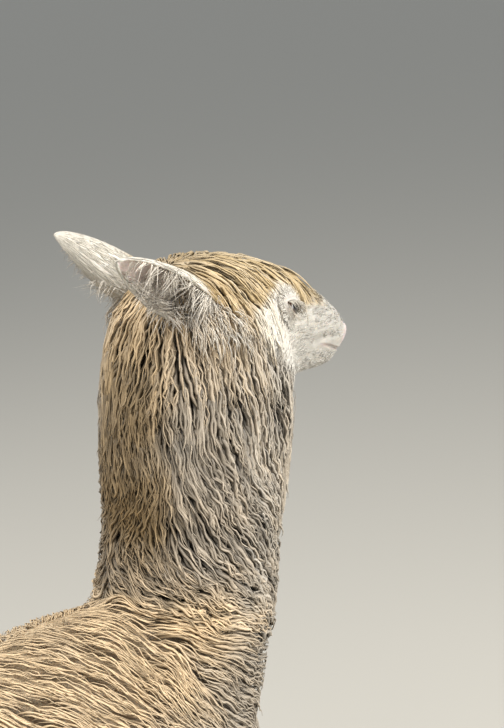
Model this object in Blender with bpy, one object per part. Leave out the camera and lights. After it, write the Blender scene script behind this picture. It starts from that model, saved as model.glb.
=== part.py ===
"""A young suri alpaca, life size, as a still model that stands on its four feet.

The solids reach out to the tips of the fleece. The body is modelled as overlapping lofts: a trunk, a neck, a head,
four legs and a tail. They are fused into one smooth form, and thin cuts part that form where its parts have names.
The ears, the eyes and the toenails are solids of their own, and each sits in its place with a hairline gap.

Metres, +Z up. The animal faces -Y and its left side is +X. The origin is on the floor under the middle of the
bounding box.
"""

import math
from collections import namedtuple

import bmesh
import bpy
import numpy as np
from mathutils import Matrix, Vector

# ---- driving dimensions ------------------------------------------------------------------------------------------
WITHERS = 0.766  # height of the fleece over the shoulders
BARREL = 0.320  # width of the trunk over the ribs, fleece included
TRUNK = 0.72  # chest to rump
CHEST = -0.150  # how far forward the trunk itself reaches
RUMP = CHEST + TRUNK
HEAD = 0.213  # poll to nose
EAR = 0.128  # length of an ear
EYE = 0.0165  # radius of an eyeball
TAIL = 0.19  # length of the tail
GAP = 0.0003  # hairline between solids that touch

POLL = Vector((-0.006, -0.130, 1.070))  # between the ears, at the back of the skull
HEAD_TURN = math.radians(-10)  # to the animal's right
HEAD_DIP = math.radians(20)  # nose below level

FRONT_FOOT, HIND_FOOT = -0.060, RUMP - 0.150  # where the feet stand, along the body
LEG_APART = 0.078  # from the middle to each leg

FINE = 0.0050  # voxel of the fused form
FACES = 4600  # triangles of the fused form
HEAD_CARE = 0.0003  # how strongly the thinning spares the head

Station = namedtuple("Station", "x y z side plus minus yaw", defaults=(0.0,))


# ---- tools -------------------------------------------------------------------------------------------------------
def material(name, colour, roughness):
    made = bpy.data.materials.new(name)
    made.use_nodes = True
    shader = made.node_tree.nodes["Principled BSDF"]
    shader.inputs["Base Color"].default_value = (*colour, 1.0)
    shader.inputs["Roughness"].default_value = roughness
    shader.inputs["Metallic"].default_value = 0.0
    return made


def add_object(name, mesh, look=None):
    made = bpy.data.objects.new(name, mesh)
    bpy.context.scene.collection.objects.link(made)
    if look:
        mesh.materials.clear()
        mesh.materials.append(look)
    return made


def object_from(bm, name, look=None):
    bmesh.ops.recalc_face_normals(bm, faces=bm.faces)
    if bm.calc_volume(signed=True) < 0:
        bmesh.ops.reverse_faces(bm, faces=bm.faces)
    mesh = bpy.data.meshes.new(name)
    bm.to_mesh(mesh)
    bm.free()
    return add_object(name, mesh, look)


def evaluated(obj):
    """The object's mesh with its modifiers applied, in place of its old mesh."""
    graph = bpy.context.evaluated_depsgraph_get()
    mesh = bpy.data.meshes.new_from_object(obj.evaluated_get(graph))
    obj.modifiers.clear()
    obj.data = mesh
    return obj


def between(rows, at):
    """A smooth curve through rows of numbers: at runs from 0 at the first row to 1 at the last."""
    rows = np.asarray(rows, float)
    rows = np.vstack([2 * rows[0] - rows[1], rows, 2 * rows[-1] - rows[-2]])
    place = at * (len(rows) - 3)
    index = min(int(place), len(rows) - 4)
    t = place - index
    a, b, c, d = rows[index : index + 4]
    return b + 0.5 * t * (c - a + t * (2 * a - 5 * b + 4 * c - d + t * (3 * (b - c) + d - a)))


def loft(name, stations, place=None, square=2.0, rings_each=4, sides=28):
    """A closed tube through the stations. Each ring stands across the path: side is its half width, and plus and
    minus are how far it reaches along side x path and against it. A square over 2 makes the ring boxier."""
    bm = bmesh.new()
    count = rings_each * (len(stations) - 1) + 1
    rows = [between(stations, i / (count - 1)) for i in range(count)]
    rings = []
    for i, row in enumerate(rows):
        path = Vector(rows[min(i + 1, count - 1)][:3] - rows[max(i - 1, 0)][:3]).normalized()
        side, plus, minus, yaw = row[3:]
        lateral = Vector((math.cos(yaw), math.sin(yaw), 0))
        lateral = (lateral - path * lateral.dot(path)).normalized()
        upright = lateral.cross(path)
        ring = []
        for k in range(sides):
            turn = 2 * math.pi * k / sides
            across, along = (
                math.copysign(abs(wave) ** (2 / square), wave) for wave in (math.cos(turn), math.sin(turn))
            )
            reach = plus if along > 0 else minus
            ring.append(bm.verts.new(Vector(row[:3]) + lateral * across * side + upright * along * reach))
        rings.append(ring)
    for near, far in zip(rings, rings[1:]):
        for k in range(sides):
            bm.faces.new((near[k], near[(k + 1) % sides], far[(k + 1) % sides], far[k]))
    bm.faces.new(rings[0])
    bm.faces.new(rings[-1])
    if place:
        bm.transform(place)
    return object_from(bm, name)


def ball(name, centre, size, place=None, detail=3):
    bm = bmesh.new()
    bmesh.ops.create_icosphere(bm, subdivisions=detail, radius=1.0)
    bm.transform(Matrix.Translation(centre) @ Matrix.Diagonal((*size, 1.0)))
    if place:
        bm.transform(place)
    return object_from(bm, name)


def fused(name, lumps):
    """One smooth closed form from overlapping lumps, with the head kept finer than the rest."""
    joined = bmesh.new()
    for lump in lumps:
        joined.from_mesh(lump.data)
        bpy.data.objects.remove(lump)
    form = object_from(joined, name)
    skin = form.modifiers.new("skin", "REMESH")
    skin.mode, skin.voxel_size = "VOXEL", FINE
    ease = form.modifiers.new("ease", "SMOOTH")
    ease.factor, ease.iterations = 0.5, 7
    evaluated(form)
    body_only = form.vertex_groups.new(name="body_only")
    to_head = head_frame().inverted()
    for vertex in form.data.vertices:
        near_face = (to_head @ vertex.co).y < -0.2 * HEAD and vertex.co.z > POLL.z - 0.75 * HEAD
        body_only.add([vertex.index], 0.5 if near_face else 1.0, "REPLACE")
    thin = form.modifiers.new("thin", "DECIMATE")
    thin.ratio = FACES / (2 * len(form.data.polygons))
    thin.vertex_group, thin.vertex_group_factor = body_only.name, HEAD_CARE
    thin.use_collapse_triangulate = True
    evaluated(form)
    form.vertex_groups.clear()
    return form


def boolean(obj, operation, cutter):
    change = obj.modifiers.new(operation, "BOOLEAN")
    change.operation, change.object, change.solver = operation, cutter, "EXACT"
    return evaluated(obj)


def beyond(point, normal, reach):
    """A box whose near face lies on a plane: its width, height and depth are its reach."""
    bm = bmesh.new()
    bmesh.ops.create_cube(bm, size=1.0)
    bm.transform(Matrix.Translation((0, 0, 0.5)))
    bm.transform(Matrix.Diagonal((*reach, 1.0)))
    bm.transform(Matrix.Translation(point) @ Vector(normal).to_track_quat("Z", "Y").to_matrix().to_4x4())
    return object_from(bm, "cutter")


def under_a_slope(side, inner, outer, front, rear):
    """A wedge on one side of the middle, from the floor up to a slope that rises from inner to outer."""
    bm = bmesh.new()
    near, far = side * 0.004, side * BARREL
    ends = [
        [bm.verts.new(point) for point in ((near, y, -0.01), (far, y, -0.01), (far, y, outer), (near, y, inner))]
        for y in (front, rear)
    ]
    for k in range(4):
        bm.faces.new((ends[0][k], ends[0][(k + 1) % 4], ends[1][(k + 1) % 4], ends[1][k]))
    bm.faces.new(ends[0])
    bm.faces.new(ends[1])
    return object_from(bm, "cutter")


def swollen(obj, by):
    """A copy of the object, grown by this much along its normals, to cut a neighbour with a hairline gap."""
    copy = add_object("swollen", obj.data.copy())
    normals = [vertex.normal.copy() for vertex in copy.data.vertices]
    for vertex, normal in zip(copy.data.vertices, normals):
        vertex.co += normal * by
    return copy


def part_off(body, name, cutter, look):
    """Cuts off what lies inside the cutter as a solid of its own, with a hairline gap between."""
    piece = add_object(name, body.data.copy(), look)
    boolean(piece, "INTERSECT", cutter)
    wider = swollen(cutter, 2 * GAP)
    boolean(body, "DIFFERENCE", wider)
    bpy.data.objects.remove(cutter)
    bpy.data.objects.remove(wider)
    return piece


def head_frame():
    """The head's own frame: origin at the poll, -Y to the nose, +Z to the crown, +X to its left."""
    return Matrix.Translation(POLL) @ Matrix.Rotation(HEAD_TURN, 4, "Z") @ Matrix.Rotation(HEAD_DIP, 4, "X")


# ---- the lumps of the body ---------------------------------------------------------------------------------------
def trunk():
    """Chest, ribs and croup, along a level spine. side is the half width, plus is up and minus is down."""
    half, mid = BARREL / 2, WITHERS - 0.194
    share = lambda part: CHEST + part * TRUNK
    return loft("trunk_lump", [
        Station(0, share(0.00), mid - 0.035, 0.22 * half, 0.050, 0.060),
        Station(0, share(0.07), mid - 0.030, 0.48 * half, 0.110, 0.120),
        Station(0, share(0.22), mid - 0.005, 0.80 * half, 0.186, 0.185),
        Station(0, share(0.40), mid, 0.96 * half, 0.192, 0.200),
        Station(0, share(0.62), mid, 1.00 * half, 0.194, 0.190),
        Station(0, share(0.82), mid + 0.01, 0.90 * half, 0.183, 0.172),
        Station(0, share(0.94), mid + 0.01, 0.64 * half, 0.135, 0.135),
        Station(0, share(1.00), mid, 0.25 * half, 0.060, 0.060),
    ], square=1.95)


def neck():
    """From inside the chest up to the back of the skull. plus is to the front and minus to the nape."""
    turn = HEAD_TURN
    return loft("neck_lump", [
        Station(0, 0.010, 0.520, 0.080, 0.100, 0.090),
        Station(0, -0.050, 0.620, 0.094, 0.094, 0.104, 0.0),
        Station(-0.001, -0.090, 0.720, 0.092, 0.089, 0.098, 0.1 * turn),
        Station(-0.002, -0.112, 0.800, 0.088, 0.089, 0.096, 0.2 * turn),
        Station(-0.003, -0.126, 0.870, 0.090, 0.092, 0.105, 0.3 * turn),
        Station(-0.004, -0.142, 0.950, 0.090, 0.094, 0.109, 0.5 * turn),
        Station(-0.006, -0.152, 1.020, 0.078, 0.068, 0.096, 0.7 * turn),
        Station(-0.008, -0.152, 1.062, 0.054, 0.050, 0.068, 0.8 * turn),
    ], square=2.1)


def head_lumps():
    """Skull, muzzle, jaw, topknot and brows, in the head's frame. plus is down and minus is up."""
    at = lambda share: -share * HEAD
    place = head_frame()
    return [
        loft("skull", [
            Station(0, at(-0.16), -0.042, 0.030, 0.036, 0.032),
            Station(0, at(0.00), -0.042, 0.058, 0.052, 0.050),
            Station(0, at(0.20), -0.038, 0.060, 0.058, 0.052),
            Station(0, at(0.36), -0.036, 0.051, 0.056, 0.053),
            Station(0, at(0.48), -0.036, 0.043, 0.050, 0.051),
            Station(0, at(0.62), -0.040, 0.038, 0.044, 0.049),
            Station(0, at(0.76), -0.042, 0.034, 0.032, 0.038),
            Station(0, at(0.87), -0.044, 0.032, 0.024, 0.027),
            Station(0, at(0.95), -0.047, 0.028, 0.019, 0.018),
            Station(0, at(0.99), -0.050, 0.017, 0.012, 0.011),
        ], place, square=2.3),
        loft("jaw", [
            Station(0, at(0.05), -0.066, 0.048, 0.042, 0.030),
            Station(0, at(0.28), -0.074, 0.047, 0.045, 0.030),
            Station(0, at(0.52), -0.072, 0.038, 0.037, 0.025),
            Station(0, at(0.76), -0.067, 0.029, 0.027, 0.018),
            Station(0, at(0.91), -0.066, 0.024, 0.018, 0.014),
            Station(0, at(0.965), -0.066, 0.014, 0.011, 0.009),
        ], place, square=2.2),
        ball("topknot", (0, at(0.20), -0.019), (0.058, 0.080, 0.034), place),
    ] + [
        ball("brow", (side * 0.033, at(0.435), -0.012), (0.017, 0.028, 0.016), place) for side in (-1, 1)
    ]


def foot_lumps(x, y):
    """Two toes side by side, each over its own pad."""
    return [
        ball("toe", (x + side * 0.0155, y - 0.020, 0.017), (0.0155, 0.036, 0.021)) for side in (-1, 1)
    ] + [ball("heel", (x, y + 0.004, 0.030), (0.027, 0.026, 0.028))]


def front_leg(x):
    """Straight down from the shoulder. plus is to the rear and minus to the front."""
    y = FRONT_FOOT
    return [loft("front_leg", [
        Station(0.68 * x, y + 0.014, 0.620, 0.044, 0.080, 0.058),
        Station(0.90 * x, y + 0.016, 0.500, 0.054, 0.076, 0.060),
        Station(x, y + 0.016, 0.410, 0.048, 0.060, 0.053),
        Station(x, y + 0.011, 0.330, 0.040, 0.045, 0.044),
        Station(x, y + 0.004, 0.255, 0.034, 0.036, 0.038),
        Station(x, y + 0.006, 0.175, 0.026, 0.029, 0.028),
        Station(x, y + 0.007, 0.100, 0.025, 0.029, 0.027),
        Station(x, y, 0.055, 0.025, 0.027, 0.026),
        Station(x, y - 0.006, 0.020, 0.021, 0.021, 0.023),
    ])] + foot_lumps(x, y)


def hind_leg(x):
    """Thigh, gaskin, hock and cannon. plus is to the rear and minus to the front."""
    y = HIND_FOOT
    return [loft("hind_leg", [
        Station(0.65 * x, y - 0.025, 0.640, 0.050, 0.090, 0.105),
        Station(0.92 * x, y - 0.035, 0.545, 0.068, 0.112, 0.115),
        Station(1.02 * x, y - 0.035, 0.455, 0.062, 0.096, 0.090),
        Station(1.02 * x, y - 0.002, 0.370, 0.048, 0.066, 0.062),
        Station(x, y + 0.028, 0.300, 0.036, 0.046, 0.042),
        Station(x, y + 0.038, 0.248, 0.030, 0.036, 0.034),
        Station(x, y + 0.028, 0.172, 0.025, 0.028, 0.028),
        Station(x, y + 0.018, 0.100, 0.025, 0.028, 0.027),
        Station(x, y + 0.006, 0.055, 0.025, 0.027, 0.026),
        Station(x, y - 0.002, 0.020, 0.021, 0.021, 0.022),
    ])] + foot_lumps(x, y)


def tail():
    """It leaves the croup and hangs close behind the thighs. plus is to the rear."""
    root, top = RUMP - 0.045, WITHERS - 0.084
    return loft("tail_lump", [
        Station(0, root, top, 0.036, 0.026, 0.030),
        Station(0, root + 0.042, top - 0.014, 0.042, 0.030, 0.032),
        Station(0, root + 0.074, top - 0.058, 0.045, 0.029, 0.030),
        Station(0, root + 0.086, top - 0.62 * TAIL, 0.040, 0.024, 0.026),
        Station(0, root + 0.086, top - 0.88 * TAIL, 0.027, 0.017, 0.018),
        Station(0, root + 0.084, top - TAIL, 0.012, 0.008, 0.008),
    ])


# ---- ears, eyes and toenails -------------------------------------------------------------------------------------
def ear_frame(side):
    """An ear laid back: origin at its root, +Z to its tip, +Y to its back and -Y out of its mouth."""
    root = Matrix.Translation((side * 0.045, -0.004, -0.038))
    tip = Vector((side * 0.13, 0.95, 0.27 + side * 0.03)).normalized()
    mouth = Vector((side * 0.90, 0.00, -0.30))
    mouth = (mouth - tip * mouth.dot(tip)).normalized()
    across = tip.cross(mouth)
    turn = Matrix((across, -mouth, tip)).transposed().to_4x4()
    return head_frame() @ root @ turn


def ear(name, side, look):
    """A spear-shaped cup: each ring is a crescent that opens towards the mouth and closes to a point at the tip."""
    bm = bmesh.new()
    rings, arc = 13, 9
    wall = 0.0042
    loops = []
    for i in range(rings):
        t = i / (rings - 1)
        height = -0.020 + (EAR + 0.020) * t
        wide = 0.0245 * (math.sin(math.pi * (0.20 + 0.80 * t)) ** 0.72 if t < 1 else 0) + 0.0012
        fold = math.radians(128) * (1 - 0.50 * t)
        thick = min(wall, 0.8 * wide)
        loop = []
        for shell in (wide, wide - thick):
            row = []
            for k in range(arc):
                turn = fold * (2 * k / (arc - 1) - 1)
                deep = shell * math.cos(turn) * 0.80
                row.append((shell * math.sin(turn), deep - 0.006 * math.sin(math.pi * t), height))
            loop += row if shell == wide else row[::-1]
        loops.append([bm.verts.new(point) for point in loop])
    for low, high in zip(loops, loops[1:]):
        for k in range(2 * arc):
            bm.faces.new((low[k], low[(k + 1) % (2 * arc)], high[(k + 1) % (2 * arc)], high[k]))
    bm.faces.new(loops[0])
    bm.faces.new(loops[-1])
    bm.transform(ear_frame(side))
    return object_from(bm, name, look)


def toenail(name, x, y, look):
    """A blunt claw at the front of one toe, its tip just clear of the floor."""
    nail = loft(name, [
        Station(x, y + 0.010, 0.021, 0.0075, 0.0080, 0.0080),
        Station(x, y + 0.000, 0.017, 0.0072, 0.0085, 0.0075),
        Station(x, y - 0.008, 0.0115, 0.0055, 0.0068, 0.0058),
        Station(x, y - 0.013, 0.0065, 0.0030, 0.0040, 0.0034),
    ], rings_each=1, sides=8)
    nail.data.materials.append(look)
    return nail


# ---- assembly ----------------------------------------------------------------------------------------------------
def build():
    for old in list(bpy.data.objects):
        bpy.data.objects.remove(old, do_unlink=True)
    fleece = material("fawn_fleece", (0.50, 0.39, 0.26), 0.9)
    hair = material("white_hair", (0.80, 0.76, 0.69), 0.8)
    eye_look = material("dark_eye", (0.02, 0.015, 0.012), 0.1)
    horn = material("toenail_horn", (0.16, 0.13, 0.10), 0.5)

    lumps = [trunk(), neck(), tail(), *head_lumps()]
    for side in (-1, 1):
        lumps += front_leg(side * LEG_APART) + hind_leg(side * LEG_APART)
    body = fused("trunk", lumps)
    body.data.materials.append(fleece)

    dock = beyond((0, RUMP + 0.008, WITHERS - 0.096), (0, 1, -0.04), (0.3, 0.7, 0.2))
    part_off(body, "tail", dock, hair)

    # The soles are flats at one level.
    floor = beyond((0, 0.1, 0.0015), (0, 0, -1), (1, 2, 0.1))
    boolean(body, "DIFFERENCE", floor)
    bpy.data.objects.remove(floor)

    for side, mark in ((1, "l"), (-1, "r")):
        eye = ball(f"eye_{mark}", (side * 0.0415, -0.440 * HEAD, -0.025), (EYE,) * 3, head_frame())
        eye.data.materials.append(eye_look)
        socket = swollen(eye, GAP)
        boolean(body, "DIFFERENCE", socket)
        bpy.data.objects.remove(socket)

    # Toenails, each let into its toe.
    front_y, hind_y = FRONT_FOOT - 0.048, HIND_FOOT - 0.048
    for side, mark in ((1, "l"), (-1, "r")):
        for place, y in (("front", front_y), ("hind", hind_y)):
            for toe, name in ((1, "outer"), (-1, "inner")):
                x = side * (LEG_APART + toe * 0.0155)
                nail = toenail(f"nail_{place}_{mark}_{name}", x, y, horn)
                bed = swollen(nail, GAP)
                boolean(body, "DIFFERENCE", bed)
                bpy.data.objects.remove(bed)

    # Thin cuts part the body where its parts have names.
    for side, mark in ((1, "l"), (-1, "r")):
        wedge = under_a_slope(side, 0.335, 0.57, FRONT_FOOT - 0.085, FRONT_FOOT + 0.100)
        part_off(body, f"leg_front_{mark}", wedge, fleece)
        wedge = under_a_slope(side, 0.335, 0.57, HIND_FOOT - 0.160, HIND_FOOT + 0.120)
        part_off(body, f"leg_hind_{mark}", wedge, fleece)
    neck_base = beyond((0, -0.10, 0.700), (0, -0.62, 1), (0.6, 0.6, 1.0))
    neck_piece = part_off(body, "neck", neck_base, fleece)
    place = head_frame()
    throat = beyond(place @ Vector((0, -0.10, -0.118)), place.to_3x3() @ Vector((0, -0.25, 0.97)), (0.5, 0.5, 0.5))
    head = part_off(neck_piece, "head", throat, hair)

    skull = swollen(head, GAP)
    nape = swollen(neck_piece, GAP)
    for side, mark in ((1, "l"), (-1, "r")):
        made = ear(f"ear_{mark}", side, hair)
        boolean(made, "DIFFERENCE", skull)
        boolean(made, "DIFFERENCE", nape)
    bpy.data.objects.remove(skull)
    bpy.data.objects.remove(nape)

    # The origin goes on the floor, under the middle of the bounding box.
    points = np.array([vertex.co for obj in bpy.data.objects for vertex in obj.data.vertices])
    low, high = points.min(axis=0), points.max(axis=0)
    middle = Vector(((low[0] + high[0]) / 2, (low[1] + high[1]) / 2, low[2]))
    for obj in bpy.data.objects:
        obj.data.transform(Matrix.Translation(-middle))


build()
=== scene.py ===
"""The looks of a life-size suri alpaca: skin, eyes, toenails and a fleece of solid locks."""

import math

import bmesh
import bpy
import numpy as np
from mathutils import Matrix, Vector
from mathutils.bvhtree import BVHTree


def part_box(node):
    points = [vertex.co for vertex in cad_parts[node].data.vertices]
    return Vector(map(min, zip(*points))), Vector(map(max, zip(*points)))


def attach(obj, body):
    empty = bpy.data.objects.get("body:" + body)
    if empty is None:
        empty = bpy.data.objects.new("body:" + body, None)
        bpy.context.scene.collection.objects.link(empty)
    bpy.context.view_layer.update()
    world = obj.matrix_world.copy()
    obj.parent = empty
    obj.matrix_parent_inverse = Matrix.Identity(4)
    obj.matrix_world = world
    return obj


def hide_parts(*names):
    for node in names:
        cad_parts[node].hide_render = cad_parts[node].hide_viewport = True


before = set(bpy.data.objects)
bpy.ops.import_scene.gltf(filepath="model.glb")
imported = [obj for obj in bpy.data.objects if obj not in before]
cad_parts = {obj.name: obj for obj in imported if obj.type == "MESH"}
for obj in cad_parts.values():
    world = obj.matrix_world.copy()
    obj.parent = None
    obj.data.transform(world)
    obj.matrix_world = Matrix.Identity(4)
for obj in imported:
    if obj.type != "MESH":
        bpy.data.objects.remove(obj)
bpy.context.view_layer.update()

# ---- camera ----
# Stands by the animal's right flank, a little above its head, and looks down past its cheek. The head looks
# away from it, so both ears and the long side of the neck show.
EYE_SIDE = {side: sum(map(Vector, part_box(f"eye_{side}")), Vector()) / 2 for side in "lr"}
CAMERA_FROM_EYE = Vector((-0.9901, 1.0366, 0.4075))
CAMERA_HEADING, CAMERA_DIP, CAMERA_ROLL = math.radians(-135), math.radians(18), math.radians(-4.5)
CAMERA_LENS, CAMERA_SENSOR = 74.2, 36  # millimetres



def placed(name, data):
    """A new object of this name in the scene."""
    made = bpy.data.objects.new(name, data)
    bpy.context.scene.collection.objects.link(made)
    return made


camera = placed("camera", bpy.data.cameras.new("camera"))
camera.data.lens, camera.data.sensor_width = CAMERA_LENS, CAMERA_SENSOR
camera.matrix_world = (
    Matrix.Translation(EYE_SIDE["r"] + CAMERA_FROM_EYE)
    @ Matrix.Rotation(CAMERA_HEADING, 4, "Z")
    @ Matrix.Rotation(math.pi / 2 - CAMERA_DIP, 4, "X")
    @ Matrix.Rotation(CAMERA_ROLL, 4, "Z")
)
bpy.context.scene.camera = camera

# ---- body outline ----
# The outer surface that the tips of the coat reach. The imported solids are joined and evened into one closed
# form. Nothing of it shows: the skin is sunk below it, and every lock is laid along it.
FLESH = ("trunk", "neck", "head", "tail", "leg_front_l", "leg_front_r", "leg_hind_l", "leg_hind_r")
JOIN_VOXEL = 0.0055  # metres
SWELL = 0.0006  # closes the hairlines between the solids
ROUND_EYE = 0.026  # how far from its middle an eye's lids reach
FACE_FRONT, MUZZLE_FRONT = -0.062, -0.186  # where face and muzzle start, from the poll towards the nose
HEAD_TURN = math.atan2(*(EYE_SIDE["l"] - EYE_SIDE["r"]).yx)
HEAD_DIP = math.radians(20)
EYES_FROM_POLL = Vector((0, -0.0937, -0.025))
head_turned = Matrix.Rotation(HEAD_TURN, 4, "Z") @ Matrix.Rotation(HEAD_DIP, 4, "X")
POLL = (EYE_SIDE["l"] + EYE_SIDE["r"]) / 2 - head_turned @ EYES_FROM_POLL
HEAD_FRAME = Matrix.Translation(POLL) @ head_turned  # -Y to the nose, +Z to the crown, +X to the left
HEAD_AXES = np.array(HEAD_FRAME.to_3x3())
SOCKETS = {side: np.array(EYE_SIDE[side]) for side in "lr"}


def norms(vectors):
    return np.linalg.norm(vectors, axis=-1)


def unit(vectors):
    """The vectors at length 1."""
    return vectors / np.maximum(norms(vectors), 1e-9)[..., None]


def bell(values, wide):
    """1 where values are 0, and soon 0 beyond wide on both sides."""
    return np.exp(-((values / wide) ** 2))


def in_head(points):
    """World points in the head's own frame."""
    return (np.asarray(points) - np.array(POLL)) @ HEAD_AXES


def from_head(points):
    """Points of the head's own frame in the world."""
    return np.asarray(points) @ HEAD_AXES.T + np.array(POLL)


def from_eyes(points):
    """How far points lie from the middle of the nearer eye."""
    return np.min([norms(points - socket) for socket in SOCKETS.values()], axis=0)


def ramp(values, start, end):
    """0 at start, 1 at end, smooth between."""
    t = np.clip((np.asarray(values, float) - start) / (end - start), 0, 1)
    return t * t * (3 - 2 * t)


def object_of(bm, name):
    mesh = bpy.data.meshes.new(name)
    bm.to_mesh(mesh)
    bm.free()
    return placed(name, mesh)


def evaluated(obj):
    """The object's mesh as its modifiers leave it."""
    return bpy.data.meshes.new_from_object(obj.evaluated_get(bpy.context.evaluated_depsgraph_get()))


def refine(bm, inside):
    """Halves the faces whose middles, as an array, are inside."""
    faces = list(bm.faces)
    chosen = inside(np.array([face.calc_center_median() for face in faces]))
    edges = {edge for face, keep in zip(faces, chosen) if keep for edge in face.edges}
    bmesh.ops.subdivide_edges(bm, edges=list(edges), cuts=1, use_grid_fill=True)


def even(bm, times, inside=None):
    verts = list(bm.verts)
    if inside is not None:
        chosen = inside(np.array([vert.co for vert in verts]))
        verts = [vert for vert, keep in zip(verts, chosen) if keep]
    for _ in range(times):
        bmesh.ops.smooth_vert(bm, verts=verts, factor=0.5, use_axis_x=True, use_axis_y=True, use_axis_z=True)


def round_the_head(points):
    place = in_head(points)
    return (place[:, 1] < 0.03) & (place[:, 2] > -0.16)


def round_the_face(points):
    place = in_head(points)
    return (place[:, 1] < FACE_FRONT) & (place[:, 2] > -0.12)


def round_eyes_and_lips(points):
    return (from_eyes(points) < ROUND_EYE) | (in_head(points)[:, 1] < MUZZLE_FRONT)


solids = bmesh.new()
for name in FLESH + ("eye_l", "eye_r"):
    solids.from_mesh(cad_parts[name].data)
bmesh.ops.remove_doubles(solids, verts=solids.verts, dist=1e-5)
solids.normal_update()
for vert in solids.verts:
    vert.co += vert.normal * SWELL
joined = object_of(solids, "outline")
remesh = joined.modifiers.new("remesh", "REMESH")
remesh.mode, remesh.voxel_size = "VOXEL", JOIN_VOXEL
outline = bmesh.new()
outline.from_mesh(evaluated(joined))
bpy.data.objects.remove(joined)
even(outline, 6)
refine(outline, round_the_head)
even(outline, 8, round_the_head)
bmesh.ops.triangulate(outline, faces=outline.faces)
outline.normal_update()

surface = BVHTree.FromBMesh(outline)
OUTER = np.array([vert.co for vert in outline.verts])
OUTWARD = np.array([vert.normal for vert in outline.verts])
TRIS = np.array([[vert.index for vert in face.verts] for face in outline.faces])
LINKS = np.array([[vert.index for vert in edge.verts] for edge in outline.edges])

packed, owner = [], []
for number, name in enumerate(FLESH):
    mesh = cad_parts[name].data
    packed += [[mesh.vertices[i].co for i in face.vertices] for face in mesh.polygons]
    owner += [number] * len(mesh.polygons)
packed_tree = BVHTree.FromPolygons([co for face in packed for co in face],
                                   [(3 * i, 3 * i + 1, 3 * i + 2) for i in range(len(packed))])
PART = np.array([owner[packed_tree.find_nearest(Vector(co))[2]] for co in OUTER])


def spread(values, times):
    """Each value evened with those of its neighbours on the outline."""
    for _ in range(times):
        total = np.zeros_like(values)
        count = np.zeros(len(values))
        for a, b in (LINKS.T, LINKS.T[::-1]):
            total += np.bincount(a, weights=values[b], minlength=len(values))
            count += np.bincount(a, minlength=len(values))
        values = 0.5 * values + 0.5 * total / count
    return values


# ---- coat depth ----
# How far the skin lies below the tips. A suri's fleece is deepest on the neck and the back and thin on the
# legs. Below the knees and hocks and on the throat and the face the hair is short and lies flat.
KNEE, HOCK = 0.250, 0.290  # heights
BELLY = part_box("trunk")[0].z
FACE_COAT, BACK_COAT, TAIL_COAT = 0.0012, 0.024, 0.014  # depths
FRINGE_COAT, CROWN_COAT, CHEEK_COAT = 0.007, 0.018, 0.0235  # how much deeper than on the face
FOOT_COAT, SHANK_COAT, THIGH_COAT = 0.0030, 0.004, 0.006  # each comes on top of the one before
PARTING = 0.032  # how far left of the spine the fleece of the back parts
WHORL = (0, 0.024, -0.003)  # where the locks of the crown spring from, in the head's frame


def behind_face(head):
    """How far a place of the head lies behind the slanted back edge of the white face."""
    return head[:, 1] + 0.036 - 1.3 * np.minimum(head[:, 2] + 0.036, 0)


def above_face(head):
    """How far it lies above the edge of the locks that fall over the forehead and the temple."""
    y, z = head[:, 1], head[:, 2]
    return z + 0.018 - 0.016 * bell(y + 0.086, 0.017) + 0.6 * np.maximum(y + 0.067, 0)


def coat_depth(points, part):
    head, z = in_head(points), points[:, 2]
    behind = ramp(behind_face(head), -0.020, 0.020)
    crown = ramp(head[:, 1], -0.130, -0.080) * ramp(above_face(head), -0.002, 0.016)
    fringe = ramp(head[:, 1], -0.172, -0.145) * ramp(above_face(head), -0.004, 0.008)
    on_head = np.maximum(np.maximum(CROWN_COAT * crown, CHEEK_COAT * behind), FRINGE_COAT * fringe)
    on_head = FACE_COAT + on_head * ramp(from_eyes(points), 0.020, 0.050)
    spine = bell(points[:, 0] - PARTING, 0.030)
    on_top = ramp(z, 0.60, 0.72) * ramp(points[:, 1], -0.26, -0.16)
    on_back = BACK_COAT - (0.006 + 0.013 * spine) * on_top
    depth = np.where(part == FLESH.index("head"), on_head, on_back)
    depth = np.where(part == FLESH.index("tail"), TAIL_COAT, depth)
    for name in FLESH[4:]:
        joint = KNEE if "front" in name else HOCK
        leg = FOOT_COAT + SHANK_COAT * ramp(z, 0.10, joint) + THIGH_COAT * ramp(z, joint, joint + 0.16)
        depth = np.where(part == FLESH.index(name), leg - 0.0018 * ramp(z, 0.06, 0.03), depth)
    under = ramp(-z, -BELLY - 0.05, -BELLY)
    breast = ramp(-points[:, 1], 0.20, 0.30) * ramp(-z, -0.74, -0.66)
    depth = depth * (1 - 0.40 * breast)
    whorl = bell(norms(head - WHORL), 0.030)
    return np.where(part == FLESH.index("trunk"), depth - 0.010 * under, depth) * (1 - 0.78 * whorl)


DEPTH = coat_depth(OUTER, PART)
throat = ramp(-in_head(OUTER)[:, 2], 0.070, 0.100)  # the fleece deepens slowly down the front of the neck
DEPTH = spread(DEPTH, 10) * (1 - throat) + spread(DEPTH, 70) * throat


def area(a, b, c):
    """Twice the area of the triangles a b c."""
    return norms(np.cross(b - a, c - a))


def on_outline(points):
    """The nearest places on the outline, and its outward direction and the coat's depth there."""
    found = [surface.find_nearest(point) for point in points.tolist()]
    places = np.array([hit[0] for hit in found])
    faces = np.array([hit[2] for hit in found])
    a, b, c = (OUTER[TRIS[faces, k]] for k in range(3))
    shares = np.stack([area(places, b, c), area(a, places, c), area(a, b, places)], 1)
    shares /= shares.sum(axis=1, keepdims=True)
    outward = unit((shares[:, :, None] * OUTWARD[TRIS[faces]]).sum(axis=1))
    return places, outward, (shares * DEPTH[TRIS[faces]]).sum(axis=1)


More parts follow.
